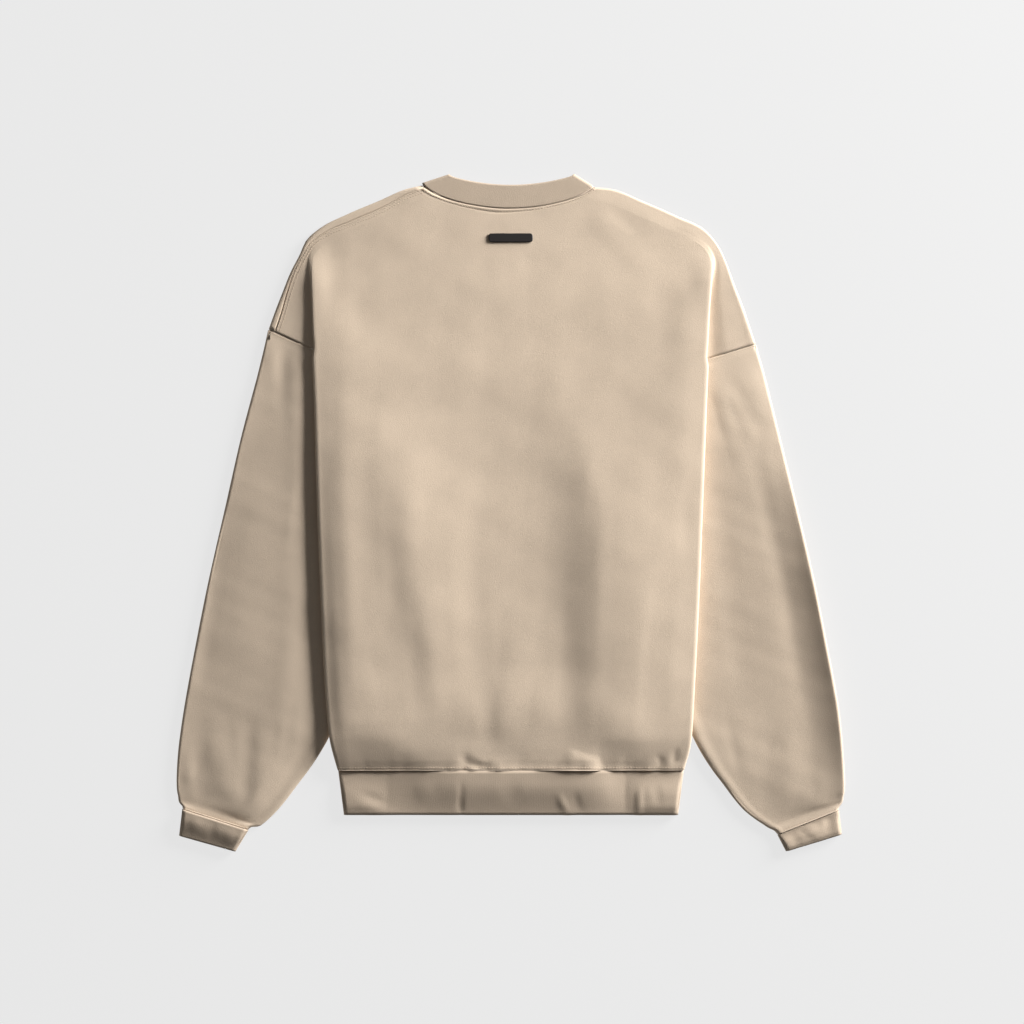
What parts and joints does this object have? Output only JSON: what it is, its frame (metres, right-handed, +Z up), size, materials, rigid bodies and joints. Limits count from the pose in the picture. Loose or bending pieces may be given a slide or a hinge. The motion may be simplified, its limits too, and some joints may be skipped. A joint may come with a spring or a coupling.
{
  "type": "crewneck sweatshirt",
  "caption": "Oversized crewneck sweatshirt laid flat with its back up, sleeves folded down beside the body, ribbed collar, cuffs and hem.",
  "frame": {"origin": "on the table under the middle of the garment's outline", "axes": "+Z up from the table, +Y toward the neck, +X toward the wearer's right sleeve, because the back is up"},
  "size_m": [0.7359, 0.7466, 0.015],
  "materials": {
    "fleece": "heavy cotton fleece with a soft matte face, warm sand beige",
    "rib": "fine cotton rib, matte, a little darker than the fleece",
    "tab": "smooth dark brown-black tab, satin"
  },
  "bodies": {
    "root": {"back_panel": "fleece", "front_panel": "fleece", "sleeve_left": "fleece", "sleeve_right": "fleece", "collar": "rib", "cuff_left": "rib", "cuff_right": "rib", "hem_band": "rib", "neck_tab": "tab"}
  },
  "joints": []
}
